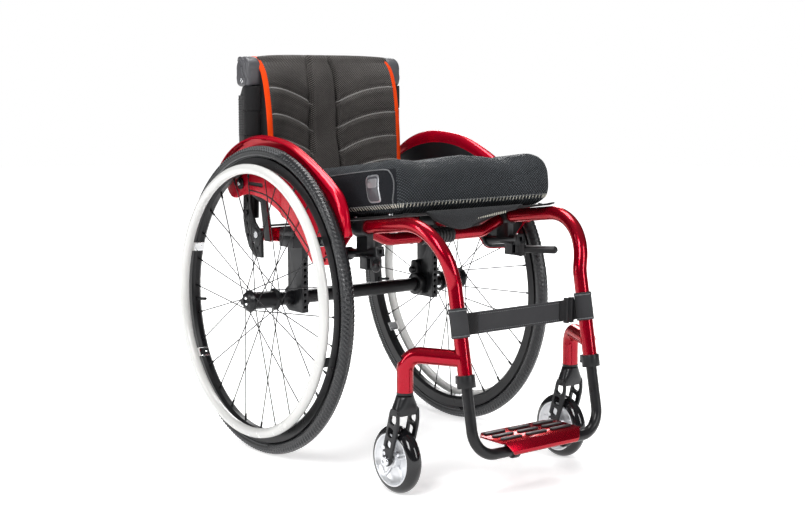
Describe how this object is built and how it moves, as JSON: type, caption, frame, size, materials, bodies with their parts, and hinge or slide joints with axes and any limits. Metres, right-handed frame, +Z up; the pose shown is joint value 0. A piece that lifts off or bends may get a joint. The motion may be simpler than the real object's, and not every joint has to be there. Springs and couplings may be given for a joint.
{
  "type": "wheelchair",
  "caption": "Rigid-frame active manual wheelchair with cambered spoked rear wheels, handrims, swivelling castors, side guards, wheel locks, folding push handles and a sliding footrest.",
  "frame": {"origin": "on the floor, in the middle of the chair's width and length", "axes": "+Z up, the chair faces -Y, +X is the sitter's left"},
  "size_m": [0.5556, 0.843, 0.759],
  "materials": {
    "frame_paint": "deep metallic red enamel under clear lacquer",
    "guard_paint": "gloss red moulding",
    "soft_rubber": "moulded rubber",
    "bearing_steel": "ground steel",
    "black_metal": "satin black powder coat or anodising",
    "bare_aluminium": "machined",
    "polished_steel": "polished",
    "seat_fabric": "woven black cover cloth over a soft filling or doubled webbing",
    "mesh_fabric": "padded spacer mesh with ribs",
    "webbing": "woven band",
    "black_plastic": "fine grain",
    "grey_plastic": "fine grain",
    "tyre_rubber": "matt with a fine tread",
    "castor_rubber": "smooth solid tyre",
    "white_coat": "smooth white grip coating"
  },
  "bodies": {
    "chair": {"side_frame_right": "frame_paint", "side_frame_left": "frame_paint", "cross_tube": "frame_paint", "cross_tube_grip": "soft_rubber", "castor_arm_right": "frame_paint", "castor_arm_left": "frame_paint", "headset_bearings": "bearing_steel", "tube_collars": "black_metal", "axle_tube": "black_metal", "axle_receivers": "bare_aluminium", "axle_stem_right": "black_metal", "axle_stem_left": "black_metal", "axle_clamps": "black_metal", "quick_axles": "polished_steel", "seat_sling": "seat_fabric", "sling_flap": "seat_fabric", "frame_fasteners": "bearing_steel", "cushion": "seat_fabric", "guard_holders": "black_metal", "side_guard_right": "guard_paint", "side_guard_left": "guard_paint", "lock_mount_right": "black_metal", "lock_mount_left": "black_metal", "calf_strap": "webbing", "strap_buckles": "black_plastic"},
    "backrest": {"back_bracket_right": "black_metal", "back_bracket_left": "black_metal", "back_posts": "black_metal", "back_bar": "black_metal", "back_upholstery": "mesh_fabric", "handle_heads": "grey_plastic"},
    "handle_right": {"push_handle_right": "soft_rubber"},
    "wheel_right": {"tyre_right": "tyre_rubber", "rim_right": "black_metal", "spokes_right": "black_metal", "hub_right": "black_metal", "hub_bearings_right": "bearing_steel", "handrim_right": "white_coat"},
    "button_right": {"release_button_right": "black_plastic"},
    "fork_right": {"castor_fork_right": "black_metal"},
    "castor_right": {"castor_tyre_right": "castor_rubber", "castor_hub_right": "bare_aluminium"},
    "lock_right": {"lock_arm_right": "black_metal"},
    "handle_left": {"push_handle_left": "soft_rubber"},
    "wheel_left": {"tyre_left": "tyre_rubber", "rim_left": "black_metal", "spokes_left": "black_metal", "hub_left": "black_metal", "hub_bearings_left": "bearing_steel", "handrim_left": "white_coat"},
    "button_left": {"release_button_left": "black_plastic"},
    "fork_left": {"castor_fork_left": "black_metal"},
    "castor_left": {"castor_tyre_left": "castor_rubber", "castor_hub_left": "bare_aluminium"},
    "lock_left": {"lock_arm_left": "black_metal"},
    "foot_rest": {"foot_tube": "black_metal"},
    "foot_plate": {"footplate": "frame_paint", "footplate_pads": "soft_rubber", "footplate_clamps": "black_metal"}
  },
  "joints": [
    {"name": "backrest_tilt", "type": "hinge", "parent": "chair", "child": "backrest", "pos_m": [0, 0.2115, 0.41037], "axis": [1, 0, 0], "range_deg": [-10, 8]},
    {"name": "handle_fold_right", "type": "hinge", "parent": "backrest", "child": "handle_right", "pos_m": [-0.171, 0.2605, 0.713], "axis": [1, 0, 0], "range_deg": [0, 95]},
    {"name": "wheel_spin_right", "type": "hinge", "parent": "chair", "child": "wheel_right", "pos_m": [-0.2327, 0.1265, 0.2949], "axis": [-0.9997, 0, 0.0262], "continuous": true},
    {"name": "button_press_right", "type": "slide", "parent": "chair", "child": "button_right", "axis": [0.9997, 0, -0.0262], "range_m": [0, 0.004], "stiffness_N_per_m": 400, "springref_m": -0.002},
    {"name": "castor_swivel_right", "type": "hinge", "parent": "chair", "child": "fork_right", "pos_m": [-0.197, -0.2745, 0.21], "axis": [0, 0, 1], "continuous": true},
    {"name": "castor_spin_right", "type": "hinge", "parent": "fork_right", "child": "castor_right", "pos_m": [-0.197, -0.252, 0.06], "axis": [1, 0, 0], "continuous": true},
    {"name": "lock_swing_right", "type": "hinge", "parent": "chair", "child": "lock_right", "pos_m": [-0.173, -0.1595, 0.3915], "axis": [0, 0, -1], "range_deg": [0, 52]},
    {"name": "handle_fold_left", "type": "hinge", "parent": "backrest", "child": "handle_left", "pos_m": [0.171, 0.2605, 0.713], "axis": [1, 0, 0], "range_deg": [0, 95]},
    {"name": "wheel_spin_left", "type": "hinge", "parent": "chair", "child": "wheel_left", "pos_m": [0.2327, 0.1265, 0.2949], "axis": [0.9997, 0, 0.0262], "continuous": true},
    {"name": "button_press_left", "type": "slide", "parent": "chair", "child": "button_left", "axis": [-0.9997, 0, -0.0262], "range_m": [0, 0.004], "stiffness_N_per_m": 400, "springref_m": -0.002},
    {"name": "castor_swivel_left", "type": "hinge", "parent": "chair", "child": "fork_left", "pos_m": [0.197, -0.2745, 0.21], "axis": [0, 0, 1], "continuous": true},
    {"name": "castor_spin_left", "type": "hinge", "parent": "fork_left", "child": "castor_left", "pos_m": [0.197, -0.252, 0.06], "axis": [1, 0, 0], "continuous": true},
    {"name": "lock_swing_left", "type": "hinge", "parent": "chair", "child": "lock_left", "pos_m": [0.173, -0.1595, 0.3915], "axis": [0, 0, 1], "range_deg": [0, 52]},
    {"name": "foot_height", "type": "slide", "parent": "chair", "child": "foot_rest", "axis": [0, -0.191, -0.9816], "range_m": [-0.045, 0.03]},
    {"name": "footplate_angle", "type": "hinge", "parent": "foot_rest", "child": "foot_plate", "pos_m": [0, -0.40185, 0.085], "axis": [1, 0, 0], "range_deg": [-20, 15]}
  ]
}
